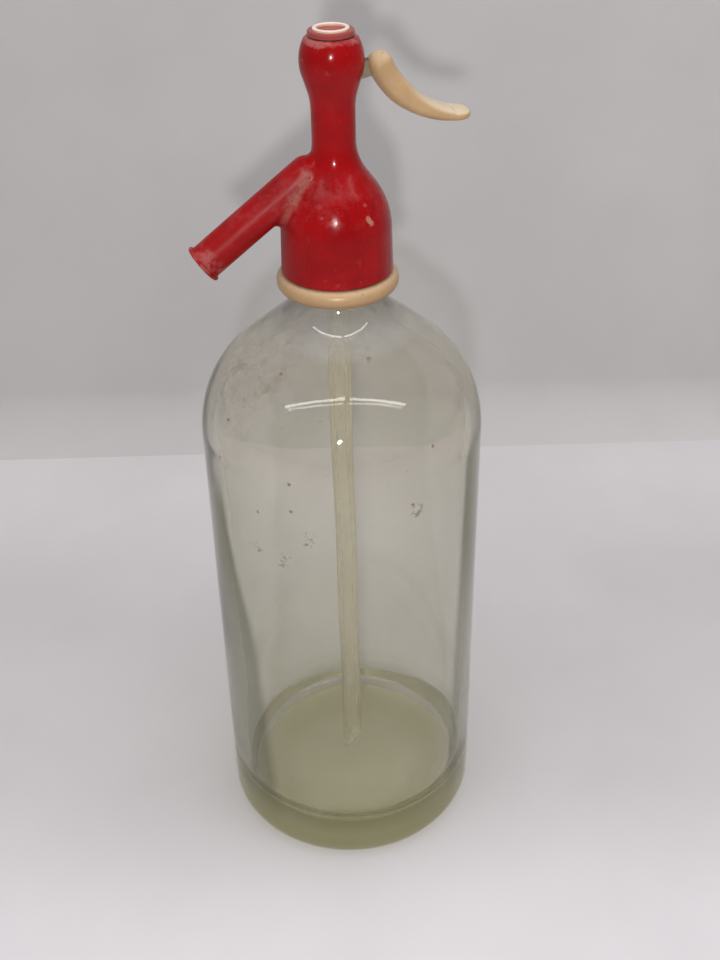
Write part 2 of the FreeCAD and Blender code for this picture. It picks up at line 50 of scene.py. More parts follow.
# ------------------------------------------------------------------ glass bottle
bottle_radius_mm = 50.0
side_height_mm = 179.04
shoulder_run_mm = 32.0
shoulder_rise_mm = 38.0
shoulder_slope = 1.2
neck_radius_mm = 14.2
neck_fillet_mm = 18.0
neck_length_mm = 13.95
bead_height_mm = 4.4
bead_width_mm = 1.1
bead_round_mm = 1.8
mouth_radius_mm = 8.8
mouth_round_mm = 0.8
glass_wall_mm = 5.5
floor_thickness_mm = 16.0
floor_corner_mm = 12.0
heel_width_mm = 10.5
heel_height_mm = 10.2
recess_radius_mm = 27.0
recess_depth_mm = 2.4

# Waves of the pressed glass, how far its hollow lies off the middle, and the heights between which
# both set in and die away.
outer_wave_mm = 0.07
inner_wave_mm = 0.12
inner_ripple_mm = 0.05
floor_swell_mm = 0.35
floor_ripple_mm = 0.25
wall_shift_mm = 1.2
wall_shift_angle = 13.0
wave_foot_mm = (12, 32)
wave_top_mm = (222, 204)
shift_top_mm = (180, 70)

# ------------------------------------------------------------------ lever handle
handle_root_mm = (15.05, 304.4)
handle_arc_mm = 29.9
handle_root_angle = 65.0
handle_tip_angle = -0.4
handle_root_half_mm = 3.9
handle_tip_half_mm = 1.6
handle_swell = 1.44
handle_root_width_mm = 8.5
handle_tip_width_mm = 11.7
handle_tip_round_mm = 4.5
handle_squareness = 2.6
crease_depth_mm = 0.28
crease_place_mm = 6.2
crease_bend_mm = 0.9
crease_width_mm = 0.5
crease_fade_mm = 1.2

# ----------------------------------------------------------------- return spring
spring_base_mm = 307.65
spring_top_mm = 312.75
coil_radius_mm = 2.8
wire_radius_mm = 0.4
spring_turns = 3.5


def arc_points(centre, run, rise, start, end, count):
    """Points on an ellipse's arc: centre + (run cos a, rise sin a), for angles a in degrees."""
    angle = np.radians(np.linspace(start, end, count))
    return np.stack([centre[0] + run * np.cos(angle), centre[1] + rise * np.sin(angle)], 1)


def line_points(start, end, count):
    """Evenly spaced points from start to end, both included."""
    share = np.linspace(0, 1, count)[:, None]
    return np.asarray(start) * (1 - share) + np.asarray(end) * share


def joined(*runs):
    """One profile from several runs of points, with the points that two runs share kept once."""
    profile = np.concatenate(runs)
    step = np.linalg.norm(np.diff(profile, axis=0), axis=1)
    return profile[np.concatenate([[True], step > 1e-6])]


def surface(name, grid, sharp=40.0):
    """A closed mesh on a grid of points, rows along the shape and columns once round it. The last
    column joins the first, and the first and last rows are single points."""
    rows, columns = grid.shape[:2]
    column = np.arange(columns)
    after = (column + 1) % columns
    lower = np.arange(rows - 3)[:, None] * columns + 1
    upper = lower + columns
    quads = np.stack([lower + column, lower + after, upper + after, upper + column], -1).reshape(-1, 4)
    last = (rows - 2) * columns + 1
    first = np.stack([np.zeros(columns, int), after + 1, column + 1], 1)
    final = np.stack([last - columns + column, last - columns + after, np.full(columns, last)], 1)
    points = np.concatenate([grid[0, :1], grid[1:-1].reshape(-1, 3), grid[-1, :1]])
    mesh = bpy.data.meshes.new(name)
    mesh.from_pydata(points.tolist(), [], quads.tolist() + first.tolist() + final.tolist())
    mesh.polygons.foreach_set("use_smooth", np.ones(len(mesh.polygons), bool))
    mesh.set_sharp_from_angle(angle=math.radians(sharp))
    mesh.update()
    piece = bpy.data.objects.new(name, mesh)
    bpy.context.scene.collection.objects.link(piece)
    return piece


# ---------------------------------------------------------------------- the bottle
def shoulder_points(wall, neck, fillet):
    """The shoulder inside the outer skin by wall, from the side up to the neck: an elliptic arc, a
    straight slope and a concave fillet."""
    lean = math.atan(shoulder_slope)
    run = shoulder_run_mm - wall
    rise = shoulder_rise_mm - wall
    end = math.atan(shoulder_slope * rise / run)
    centre = (bottle_radius_mm - shoulder_run_mm, side_height_mm)
    top = (centre[0] + run * math.cos(end), side_height_mm + rise * math.sin(end))
    turn = top[1] + (top[0] - neck) / shoulder_slope + fillet * math.tan(lean / 2)
    foot = (neck + fillet * (1 - math.cos(lean)), turn - fillet * math.sin(lean))
    return joined(
        arc_points(centre, run, rise, 0, math.degrees(end), 44),
        line_points(top, foot, 16),
        arc_points((neck + fillet, turn), fillet, fillet, 180 + math.degrees(lean), 180, 12),
    )


def ramp(value, start, end):
    """0 up to start, 1 from end on, and a straight line between them."""
    return np.clip((value - start) / (end - start), 0, 1)


def bottle_profile():
    """The bottle's closed section as (radius, height), from the middle of the foot up the outside and
    down the inside to the middle of the floor. The recess under the foot is a parabola."""
    radius = np.linspace(0, recess_radius_mm, 14)
    recess = np.stack([radius, recess_depth_mm * (1 - (radius / recess_radius_mm) ** 2)], 1)
    ground = bottle_radius_mm - heel_width_mm
    outside = shoulder_points(0, neck_radius_mm, neck_fillet_mm)
    top = outside[-1, 1] + neck_length_mm
    bead_radius = neck_radius_mm + bead_width_mm
    bead_foot = top - bead_height_mm
    bead_turn = top - bead_round_mm
    mouth_turn = top - mouth_round_mm
    inner_fillet = neck_fillet_mm + neck_radius_mm - mouth_radius_mm
    inside = shoulder_points(glass_wall_mm, mouth_radius_mm, inner_fillet)[::-1]
    inner = bottle_radius_mm - glass_wall_mm
    flat = inner - floor_corner_mm
    corner = floor_thickness_mm + floor_corner_mm
    return joined(
        recess,
        line_points((recess_radius_mm, 0), (ground, 0), 8),
        arc_points((ground, heel_height_mm), heel_width_mm, heel_height_mm, -90, 0, 18),
        line_points((bottle_radius_mm, heel_height_mm), (bottle_radius_mm, side_height_mm), 60),
        outside,
        line_points(outside[-1], (neck_radius_mm, bead_foot), 6),
        line_points((neck_radius_mm, bead_foot), (bead_radius, bead_foot), 3),
        line_points((bead_radius, bead_foot), (bead_radius, bead_turn), 4),
        arc_points((bead_radius - bead_round_mm, bead_turn), bead_round_mm, bead_round_mm, 0, 90, 8),
        arc_points(
            (mouth_radius_mm + mouth_round_mm, mouth_turn), mouth_round_mm, mouth_round_mm, 90, 180, 6
        ),
        line_points((mouth_radius_mm, mouth_turn), inside[0], 6),
        inside,
        line_points((inner, side_height_mm), (inner, corner), 56),
        arc_points((flat, corner), floor_corner_mm, floor_corner_mm, 0, -90, 16),
        line_points((flat, floor_thickness_mm), (0, floor_thickness_mm), 20),
    )


def make_bottle():
    """The bottle: its section turned round the Z axis, point (r cos t, r sin t, z). Low waves, sums of
    sines of the turn and the height, run over the glass: the outside only sinks, by up to 0.11 mm, and
    the inside moves 0.25 mm both ways. The hollow also lies off the middle, so that the wall is thicker
    on the spout's side, and its floor rises and falls by up to 0.6 mm."""
    profile = bottle_profile()
    turns = 224
    turn = np.arange(turns) * 2 * np.pi / turns
    radius = np.repeat(profile[:, :1], turns, 1)
    height = np.repeat(profile[:, 1:], turns, 1)
    mouth_row = int(np.argmax(profile[:, 1]))
    inside = (np.arange(len(profile)) > mouth_row)[:, None]
    over_heel = ramp(height, *wave_foot_mm)
    waved = over_heel * ramp(height, *wave_top_mm)
    wave = np.sin(2 * turn + 0.031 * height) + 0.6 * np.sin(3 * turn + 1.1 - 0.052 * height)
    ripple = np.sin(5 * turn + 0.09 * height)
    sunk = 1 + 0.6 * np.sin(3 * turn + 0.045 * height + 2) * np.cos(0.06 * height)
    shift = np.cos(turn + math.radians(wall_shift_angle)) * over_heel * ramp(height, *shift_top_mm)
    inner_move = (inner_wave_mm * wave + inner_ripple_mm * ripple) * waved + wall_shift_mm * shift
    radius = radius + np.where(inside, inner_move, -outer_wave_mm * sunk * waved)
    on_floor = inside & (height < floor_thickness_mm + 9)
    swell = floor_swell_mm * np.sin(2 * turn + 0.6)
    swell = swell + floor_ripple_mm * np.sin(3 * turn + 2 + 0.05 * radius)
    height = height + np.where(on_floor, swell * ramp(radius, 0, 30), 0)
    grid = np.stack([radius * np.cos(turn), radius * np.sin(turn), height], -1) * MM
    return surface("bottle_glass", grid, sharp=50.0)


# ---------------------------------------------------------------------- the handle
def opening(distance, radius):
    """How far a round end has opened at a distance from its very end: the height of a quarter circle."""
    inward = 1 - np.minimum(distance, radius) / radius
    return np.sqrt(np.maximum(0, 1 - inward * inward))


def make_handle():
    """The handle: a cross-section |y / w| ** p + |u / h| ** p = 1 carried along a round arc in the XZ
    plane. h grows from the tip to the root, w from the root to the tip, and both close in quarter
    circles at the ends. The top is pressed in by a shallow crease near the tip, a bell curve."""
    rows, columns = 150, 96
    root_angle = math.radians(handle_root_angle)
    tip_angle = math.radians(handle_tip_angle)
    sweep = root_angle - tip_angle
    length = handle_root_half_mm + handle_arc_mm * sweep + handle_tip_half_mm
    distance = (length * (1 - np.cos(np.linspace(0, math.pi, rows))) / 2)[:, None]
    from_tip = length - distance
    turned = root_angle - (distance - handle_root_half_mm) / handle_arc_mm
    angle = np.clip(turned, tip_angle, root_angle)
    over = (turned - angle) * handle_arc_mm
    arc_x = handle_root_mm[0] + handle_arc_mm * math.sin(root_angle)
    arc_z = handle_root_mm[1] + handle_arc_mm * math.cos(root_angle)
    x = arc_x - handle_arc_mm * np.sin(angle) - over * np.cos(angle)
    z = arc_z - handle_arc_mm * np.cos(angle) + over * np.sin(angle)
    grown = np.minimum(1, handle_swell * (angle - tip_angle) / sweep)
    half = handle_tip_half_mm + (handle_root_half_mm - handle_tip_half_mm) * grown
    open_root = opening(distance, handle_root_half_mm)
    half = half * open_root * opening(from_tip, handle_tip_half_mm)
    widening = (handle_tip_width_mm - handle_root_width_mm) * np.sqrt(distance / length)
    closing = 1 - opening(from_tip, handle_tip_round_mm)
    across = (handle_root_width_mm + widening) / 2 * open_root - handle_tip_round_mm * closing
    phase = (np.arange(columns) * 2 * np.pi / columns)[None, :]
    power = 2 / handle_squareness
    side = np.sign(np.cos(phase)) * np.abs(np.cos(phase)) ** power
    rise = np.sign(np.sin(phase)) * np.abs(np.sin(phase)) ** power
    off_crease = from_tip - crease_place_mm - crease_bend_mm * side
    crease = crease_depth_mm * np.exp(-(off_crease**2) / (2 * crease_width_mm**2))
    crease = np.where(rise > 0, crease * rise, 0) * np.minimum(1, half / crease_fade_mm)
    lift = half * rise - crease
    grid = np.stack([x + lift * np.sin(angle), across * side, z + lift * np.cos(angle)], -1)
    return surface("handle_skin", grid * MM)


def make_spring():
    """The spring: a round wire, centre (c cos t, c sin t, b + p t), with a circle carried along it that
    closes at both ends as the square root of the row."""
    rows, sides, closing_rows = 400, 20, 3
    turn = np.linspace(0, spring_turns * 2 * math.pi, rows)[:, None]
    height = spring_base_mm + (spring_top_mm - spring_base_mm) * turn / turn[-1]
    slope = math.atan2(spring_top_mm - spring_base_mm, turn[-1, 0] * coil_radius_mm)
    around = -(np.arange(sides) * 2 * np.pi / sides)[None, :]
    row = np.arange(rows)[:, None]
    thickness = wire_radius_mm * np.sqrt(ramp(np.minimum(row, rows - 1 - row), 0, closing_rows))
    out = coil_radius_mm + thickness * np.cos(around)
    rise = thickness * np.sin(around)
    x = out * np.cos(turn) + rise * math.sin(slope) * np.sin(turn)
    y = out * np.sin(turn) - rise * math.sin(slope) * np.cos(turn)
    z = height + rise * math.cos(slope)
    return surface("spring_wire", np.stack([x, y, z], -1) * MM)


bottle = make_bottle()
handle = make_handle()
spring = make_spring()
for piece, node, body, slot in (
    (bottle, "glass_bottle", "siphon", "clear_glass"),
    (handle, "lever_handle", "lever", "ivory_plastic"),
    (spring, "return_spring", "siphon", "steel"),
):
    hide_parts(node)
    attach(piece, body)
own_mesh(spring)


# ------------------------------------------------------------------ node helpers
def add_node(tree, kind, inputs=None, output=0, **settings):
    """Adds a shader node: inputs holds sockets to link or plain values to set. Returns one output."""
    node = tree.nodes.new("ShaderNode" + kind)
    for key, value in settings.items():
        setattr(node, key, value)
    for key, value in (inputs or {}).items():
        if isinstance(value, bpy.types.NodeSocket):
            tree.links.new(value, node.inputs[key])
        else:
            node.inputs[key].default_value = value
    return node.outputs[output]


class Finish:
    """Builds one material. Each method adds nodes and returns their output."""

    def __init__(self, name):
        self.material = bpy.data.materials.new(name)
        self.material.use_nodes = True
        self.tree = self.material.node_tree
        self.tree.nodes.clear()
        self.place = self.add("TexCoord", output="Object")

    def add(self, kind, inputs=None, output=0, **settings):
        return add_node(self.tree, kind, inputs, output, **settings)

    def sum(self, a, b):
        return self.add("Math", {0: a, 1: b}, operation="ADD")

    def times(self, a, b):
        return self.add("Math", {0: a, 1: b}, operation="MULTIPLY")

    def less(self, a, b):
        return self.add("Math", {0: a, 1: b}, operation="SUBTRACT")

    def most(self, a, b):
        return self.add("Math", {0: a, 1: b}, operation="MAXIMUM")

    def vector(self, operation, a, b, output=0):
        return self.add("VectorMath", {0: a, 1: b}, output, operation=operation)

    def scaled(self, vector, scale):
        return self.add("VectorMath", {0: vector, "Scale": scale}, operation="SCALE")

    def noise(self, size, detail=3.0, rough=0.55, stretch=(1, 1, 1), seed=0.0):
        """Cloudy noise from 0 to 1, with lumps of about that size in metres."""
        shift = (seed, seed * 0.7, seed * 1.3)
        place = self.add("Mapping", {"Vector": self.place, "Scale": stretch, "Location": shift})
        return self.add(
            "TexNoise", {"Vector": place, "Scale": 1 / size, "Detail": detail, "Roughness": rough}
        )

    def step(self, value, low, high, out_low=0.0, out_high=1.0):
        """A smooth step of a value between low and high."""
        return self.add(
            "MapRange",
            {"Value": value, "From Min": low, "From Max": high, "To Min": out_low, "To Max": out_high},
            interpolation_type="SMOOTHSTEP",
        )

    def mixed(self, share, first, second):
        """One colour turned into another by a share."""
        first, second = (c if isinstance(c, bpy.types.NodeSocket) else (*c, 1) for c in (first, second))
        return self.add("Mix", {0: share, 6: first, 7: second}, output=2, data_type="RGBA")

    def paint(self, base, *coats):
        """A base colour under coats of (share, colour)."""
        colour = base
        for share, over in coats:
            colour = self.mixed(share, colour, over)
        return colour

    def ragged(self, value, lumps, depth):
        """A value shaken by a noise, by up to half of depth each way."""
        return self.sum(value, self.times(self.less(lumps, 0.5), depth))

    def far_from(self, spot_mm, wobble, size):
        """Distance in metres from a spot, with a rim made ragged by lumps of that size."""
        spot = tuple(value * MM for value in spot_mm)
        return self.ragged(self.vector("DISTANCE", self.place, spot, output=1), self.noise(size), wobble)

    def spots(self, spots_mm, radius, rim, wobble, size):
        """1 within radius of any of the spots, 0 beyond radius * (1 + rim)."""
        found = 0.0
        for spot in spots_mm:
            near = self.step(self.far_from(spot, wobble, size), radius * (1 + rim), radius)
            found = self.most(found, near)
        return found

    def scrape(self, ends_mm, radius, soft, wobble, size):
        """1 within radius of the line between two ends, 0 beyond radius + soft, with a ragged rim."""
        start, end = (Vector(end_mm) * MM for end_mm in ends_mm)
        run = end - start
        noises = self.add("TexNoise", {"Vector": self.place, "Scale": 1 / size, "Detail": 3.0}, output=1)
        shaken = self.scaled(self.vector("SUBTRACT", noises, (0.5, 0.5, 0.5)), wobble)
        away = self.vector("SUBTRACT", self.vector("ADD", self.place, shaken), tuple(start))
        along = self.vector("DOT_PRODUCT", away, tuple(run / run.length_squared), output=1)
        nearest = self.scaled(tuple(run), self.add("Clamp", {0: along}))
        return self.step(self.vector("DISTANCE", away, nearest, output=1), radius + soft, radius)

    def across(self):
        """Place along X in metres, from the spout's side to the lever's."""
        return self.add("SeparateXYZ", {0: self.place}, output=0)

    def height(self):
        """Height in metres."""
        return self.add("SeparateXYZ", {0: self.place}, output=2)

    def radius(self):
        """Distance from the Z axis in metres."""
        flat = self.vector("MULTIPLY", self.place, (1, 1, 0))
        return self.add("VectorMath", {0: flat}, output=1, operation="LENGTH")

    def upward(self):
        """How far the surface faces up: 1 on a level top, 0 on a wall."""
        normal = self.add("NewGeometry", output="Normal")
        return self.add("SeparateXYZ", {0: normal}, output=2)

    def bump(self, value, depth):
        return self.add("Bump", {"Height": value, "Distance": depth, "Strength": 1.0})

    def finish(self, shader, volume=None):
        out = self.tree.nodes.new("ShaderNodeOutputMaterial")
        self.tree.links.new(shader, out.inputs["Surface"])
        if volume is not None:
            self.tree.links.new(volume, out.inputs["Volume"])
        return self.material


def wear(piece, finish):
    """Puts a finish on a piece."""
    piece.data.materials.clear()
    piece.data.materials.append(finish)


# ------------------------------------------------------------- the red pieces' finish
chip_mm = ((6.7, -15.2, 261.2), (8.1, -15.9, 259.6))
nick_mm = (6.2, -13.8, 265.3)
scrape_mm = ((-10.2, -5.3, 273.6), (-15.8, -5.8, 264.8))
scrape_tail_mm = ((-15.8, -5.8, 264.8), (-18.0, -4.4, 259.0))
spout_mouth_mm = (-44.7, 0, 245.7)
haze_foot = (0.2555, 0.2615)
haze_top = (0.2765, 0.2700)
bulb_rim = (0.3121, 0.3130)
spout_reach = (-0.004, -0.020)

deep_red = (0.315, 0.0035, 0.005)
dark_red = (0.24, 0.003, 0.004)
scuff_pink = (0.42, 0.14, 0.12)
haze_pink = (0.44, 0.10, 0.10)
dust_pink = (0.36, 0.17, 0.15)
mouth_and_rim_pink = (0.50, 0.24, 0.22)
scrape_brown = (0.33, 0.17, 0.13)
nick_brown = (0.36, 0.14, 0.11)
chip_buff = (0.43, 0.19, 0.14)


def red_marks(m):
    """Where the red is marked: the chip, the nick, and the broken scrape with its fainter tail."""
    chip = m.scrape(chip_mm, 0.0005, 0.0006, wobble=0.0014, size=0.0012)
    nick = m.spots((nick_mm,), 0.0004, rim=1.2, wobble=0.0010, size=0.0012)
    scrape = m.scrape(scrape_mm, 0.0003, 0.0026, wobble=0.0042, size=0.0024)
    tail = m.scrape(scrape_tail_mm, 0.0001, 0.0020, wobble=0.0016, size=0.0024)
    grain = m.step(m.noise(0.0012, detail=4, rough=0.7, seed=12), 0.35, 0.62, 0.3, 1.0)
    return chip, nick, m.times(m.most(scrape, m.times(tail, 0.6)), grain)


def red_moulding(name, rim_paling=0.0, spout_haze=0.0, dust=0.0):
    """Deep red glossy plastic: cloudy and scuffed, with a pinkish haze of fine scratches on the
    shoulder, a long scrape by the spout, a chip, a nick and a worn spout mouth. rim_paling turns the
    bulb's top rim paler pink in a ragged band, spout_haze dulls the spout, and dust makes the whole
    piece paler."""
    m = Finish(name)
    height = m.height()
    cloud = m.noise(0.014, detail=4)
    fine = m.noise(0.0009, detail=3, seed=3)
    scuff_cloud = m.noise(0.004, detail=5, rough=0.7, seed=5)
    scuffs = m.times(m.step(scuff_cloud, 0.58, 0.74), m.step(fine, 0.4, 0.62))
    band = m.times(m.step(height, *haze_foot), m.step(height, *haze_top))
    haze = m.times(band, m.step(m.noise(0.0065, detail=5, rough=0.68, seed=11), 0.42, 0.66))
    haze = m.times(haze, m.step(fine, 0.2, 0.6, 0.5, 1.0))
    chip, nick, scrape = red_marks(m)
    mouth = m.step(m.far_from(spout_mouth_mm, 0.003, 0.004), 0.0088, 0.0072)
    worn = m.times(m.times(mouth, m.step(scuff_cloud, 0.4, 0.6)), 0.28)
    # The bulb's top rim turns paler pink in a ragged band.
    if rim_paling:
        rim = m.step(m.ragged(height, scuff_cloud, 0.003), *bulb_rim)
        rim = m.times(rim, m.step(m.noise(0.004, seed=8), 0.3, 0.6))
        worn = m.most(worn, m.times(rim, rim_paling))
    coats = [(m.times(scuffs, 0.3), scuff_pink), (m.times(haze, 0.2), haze_pink)]
    if dust:
        coats.append((m.step(cloud, 0.3, 0.6, 0.6 * dust, dust), dust_pink))
    coats += [
        (worn, mouth_and_rim_pink),
        (m.times(scrape, 0.62), scrape_brown),
        (m.times(nick, 0.3), nick_brown),
        (m.times(chip, 0.8), chip_buff),
    ]
    red = m.mixed(m.step(cloud, 0.35, 0.68), deep_red, dark_red)
    dull = m.most(m.most(scrape, worn), m.most(m.times(scuffs, 0.5), m.times(haze, 0.35)))
    rough = m.sum(m.step(m.noise(0.02, seed=2), 0.3, 0.7, 0.10, 0.18), m.times(dull, 0.4))
    if spout_haze:
        rough = m.sum(rough, m.step(m.across(), *spout_reach, 0.0, spout_haze))
    dents = m.sum(m.noise(0.007, detail=2, seed=9), m.times(dull, -0.25))
    shader = m.add(
        "BsdfPrincipled",
        {
            "Base Color": m.paint(red, *coats),
            "Roughness": rough,
            "Normal": m.bump(dents, 0.00012),
            "IOR": 1.5,
            "Specular IOR Level": 0.16,
        },
    )
    return m.finish(shader)


# ----------------------------------------------------------- the ivory pieces' finish
ivory_shade = (0.86, 0.82, 0.76)
grime_brown = (0.40, 0.26, 0.14)
speck_brown = (0.25, 0.15, 0.08)
shade_and_dirt_brown = (0.34, 0.20, 0.11)
joint_brown = (0.26, 0.16, 0.09)


def ivory_moulding(name, tone, lit_top, fade=None, dirt=None, joint=None):
    """Aged ivory plastic: mottled and grimy in spots. Where it faces up it turns to the paler top colour,
    a painted highlight of the light from above, less so at the near end of a fade along X. dirt is the
    stretch of height in which it darkens on the way down, painted shade with some dirt, and joint is
    the height above which a dark brown line lies."""
    m = Finish(name)
    cloud = m.noise(0.008, detail=4, rough=0.6)
    fine = m.noise(0.0012, detail=4, seed=4)
    shade = tuple(value * share for value, share in zip(tone, ivory_shade))
    specks = m.step(m.noise(0.0022, detail=2, seed=6), 0.68, 0.76)
    # Painted highlight: faces that point up turn to the paler top colour, as if lit from above.
    pale = m.step(m.ragged(m.upward(), cloud, 0.5), 0.25, 0.95, 0.0, 0.75)
    if fade:
        pale = m.times(pale, m.step(m.across(), *fade, 0.4, 1.0))
    coats = [
        (pale, lit_top),
        (m.step(fine, 0.5, 0.8, 0.0, 0.25), grime_brown),
        (m.times(specks, 0.6), speck_brown),
    ]
    # Painted shade with some dirt: the piece darkens to brown towards the bottom of the dirt stretch.
    if dirt:
        low = m.step(m.ragged(m.height(), cloud, 0.002), *dirt)
        coats.append((m.times(low, 0.6), shade_and_dirt_brown))
    # A dark brown line along the top edge, under the part above.
    if joint:
        line = m.step(m.ragged(m.height(), fine, 0.0006), joint - 0.0004, joint)
        coats.append((m.times(line, 0.6), joint_brown))
    shader = m.add(
        "BsdfPrincipled",
        {
            "Base Color": m.paint(m.mixed(m.step(cloud, 0.3, 0.7), tone, shade), *coats),
            "Roughness": m.step(cloud, 0.3, 0.7, 0.32, 0.48),
            "Normal": m.bump(m.sum(cloud, m.times(fine, 0.3)), 0.00015),
            "IOR": 1.5,
            "Specular IOR Level": 0.4,
            "Subsurface Weight": 0.08,
            "Subsurface Radius": (0.003, 0.002, 0.001),
        },
    )
    return m.finish(shader)


# ------------------------------------------------------------------ the glass finish
rust_mm = (-33, -10, 209)
speck_spots_mm = (
    (-24.7, -20.7, 213.6),
    (-42.9, -17.1, 197.1),
    (-46.7, -17.3, 183.1),
    (-37.5, -33.1, 169.3),
    (-27.7, -41.6, 173.3),
    (20.4, -43.5, 191.9),
    (12.3, -48.4, 173.1),
    (-27.8, -41.2, 183.9),
)
smear_spots_mm = (
    (-22.7, -44.5, 162.4),
    (-31.0, -39.2, 152.1),
    (2.1, -25.5, 219.1),
    (-38.8, -31.5, 154.5),
    (14.5, -47.8, 171.0),
)
clear_glass = (0.955, 0.955, 0.95)
shoulder_glass = (0.965, 0.94, 0.935)
foot_glass = (0.80, 0.79, 0.62)
edge_shade_colour = (0.12, 0.13, 0.07)
film_brown = (0.30, 0.19, 0.10)
lime_and_shade_grey = (0.32, 0.30, 0.27)
green_cast = (0.42, 0.39, 0.05, 1)
green_depth = 36.0

# Heights and radii between which a finish of the glass sets in, and how slanting an edge is seen.
shoulder_heights = (0.150, 0.205)
lime_and_shade_heights = (0.2155, 0.2235)
foot_heights = (0.0034, 0.0026)
foot_radii = (0.022, 0.036)
edge_slant = (0.60, 0.67)
edge_radii = (0.0465, 0.048)
edge_top = (0.198, 0.178)
edge_foot = (0.010, 0.040)
edge_strong = (0.08, 0.15)
wide_heights = (0.165, 0.10)
spout_side = (0.0, -0.02)


def glass_film(m):
    """How much dirt lies on the glass: a rusty stain on the shoulder, specks, smears and fine grit."""
    cloud = m.step(m.noise(0.006, detail=5, rough=0.7, seed=2), 0.42, 0.66)
    stain = m.times(m.step(m.far_from(rust_mm, 0.016, 0.012), 0.030, 0.010), cloud)
    specks = m.spots(speck_spots_mm, 0.00035, rim=1.2, wobble=0.0007, size=0.0011)
    broken = m.step(m.noise(0.0022, detail=4, rough=0.7, seed=14), 0.45, 0.65)
    smears = m.times(m.spots(smear_spots_mm, 0.0018, rim=1.5, wobble=0.007, size=0.005), broken)
    grit = m.step(m.noise(0.0016, detail=2, seed=7), 0.73, 0.79)
    film = m.most(m.times(stain, 0.19), m.times(specks, 0.55))
    return m.most(film, m.most(m.times(grit, 0.16), m.times(smears, 0.28)))


def painted_edge_shade(m):
    """Painted shade: how dark the side is painted where it is seen at a slant, standing in for the
    darkness of light's long path through thick uneven glass. Only the outer surface darkens, more widely
    on the spout's side, and it fades towards the foot and the shoulder."""
    height = m.height()
    across = m.across()
    wider = m.times(m.step(across, *spout_side, 0.0, 0.13), m.step(height, *wide_heights))
    slant = m.sum(m.add("LayerWeight", {"Blend": 0.5}, output=1), wider)
    edge = m.times(m.step(slant, *edge_slant), m.step(m.radius(), *edge_radii))
    raised = m.sum(height, m.step(across, *spout_side, 0.0, 0.018))
    edge = m.times(edge, m.times(m.step(raised, *edge_top), m.step(height, *edge_foot)))
    return m.times(edge, m.step(height, *edge_strong, 0.75, 1.0))


def old_glass():
    """Thick pressed glass with a green cast: a film of dirt, limescale in the neck whose grey also paints
    the collar's shade, edges darkened by painted shade, and a foot that is scratched dull. Shadow and
    diffuse rays pass straight through it, so it throws a light shadow."""
    m = Finish("old_glass")
    height = m.height()
    film = glass_film(m)
    haze = m.step(m.noise(0.03, detail=4, rough=0.65, seed=1), 0.45, 0.75)
    # Limescale in the neck under the collar; its dark grey also paints the shade that the collar casts.
    lime_and_shade = m.step(m.noise(0.005, detail=4, seed=21), 0.2, 0.6, 0.6, 1.0)
    lime_and_shade = m.times(m.step(height, *lime_and_shade_heights), lime_and_shade)
    foot = m.step(height, *foot_heights)
    foot_ring = m.times(foot, m.step(m.radius(), *foot_radii))
    colour = m.paint(
        clear_glass,
        (m.step(height, *shoulder_heights), shoulder_glass),
        (foot_ring, foot_glass),
        # Painted shade darkens the glass where it is seen at a slant.
        (painted_edge_shade(m), edge_shade_colour),
        (m.step(film, 0.02, 0.3), film_brown),
        (m.times(lime_and_shade, 0.66), lime_and_shade_grey),
    )
    rough = m.sum(m.most(m.times(haze, 0.02), m.times(foot, 0.4)), m.times(film, 0.3))
    veil = m.most(m.most(film, m.sum(m.times(haze, 0.03), 0.02)), m.times(foot, 0.7))
    glass = m.add(
        "BsdfPrincipled",
        {
            "Base Color": colour,
            "Roughness": rough,
            "IOR": 1.5,
            "Transmission Weight": m.less(1.0, m.most(veil, m.times(lime_and_shade, 0.3))),
            "Specular IOR Level": 0.5,
        },
    )
    shadow = m.add("LightPath", output="Is Shadow Ray")
    diffuse = m.add("LightPath", output="Is Diffuse Ray")
    through = m.add("BsdfTransparent", {"Color": (0.97, 0.97, 0.96, 1)})
    mixed = m.add("MixShader", {0: m.most(shadow, diffuse), 1: glass, 2: through})
    volume = m.add("VolumeAbsorption", {"Color": green_cast, "Density": green_depth})
    return m.finish(mixed, volume)


# ---------------------------------------------------------------- the other finishes
tube_cream = (0.955, 0.935, 0.885)
tube_stain = (0.78, 0.70, 0.53)
tube_yellow = (0.80, 0.72, 0.10, 1)
tube_depth = 62.0


def milky_tube():
    """Translucent yellowed plastic, yellower where more of its wall is looked through, and stained
    towards its foot."""
    m = Finish("milky_tube")
    cloud = m.noise(0.02, stretch=(1, 1, 0.25), detail=4)
    stain = m.times(m.step(m.height(), 0.12, 0.02), m.step(cloud, 0.3, 0.7))
    shader = m.add(
        "BsdfPrincipled",
        {
            "Base Color": m.paint(tube_cream, (m.times(stain, 0.5), tube_stain)),
            "Roughness": 0.22,
            "IOR": 1.38,
            "Transmission Weight": 0.88,
            "Normal": m.bump(cloud, 0.0002),
        },
    )
    volume = m.add("VolumeAbsorption", {"Color": tube_yellow, "Density": tube_depth})
    return m.finish(shader, volume)


def plain_plastic(name, colour, rough):
    """One colour of plastic or rubber, a little cloudy."""
    m = Finish(name)
    cloud = m.noise(0.004, detail=4)
    shade = tuple(value * 0.8 for value in colour)
    shader = m.add(
        "BsdfPrincipled",
        {
            "Base Color": m.mixed(m.step(cloud, 0.35, 0.7), colour, shade),
            "Roughness": m.step(cloud, 0.3, 0.7, rough, rough + 0.15),
            "Normal": m.bump(cloud, 0.0001),
            "IOR": 1.45,
        },
    )
    return m.finish(shader)


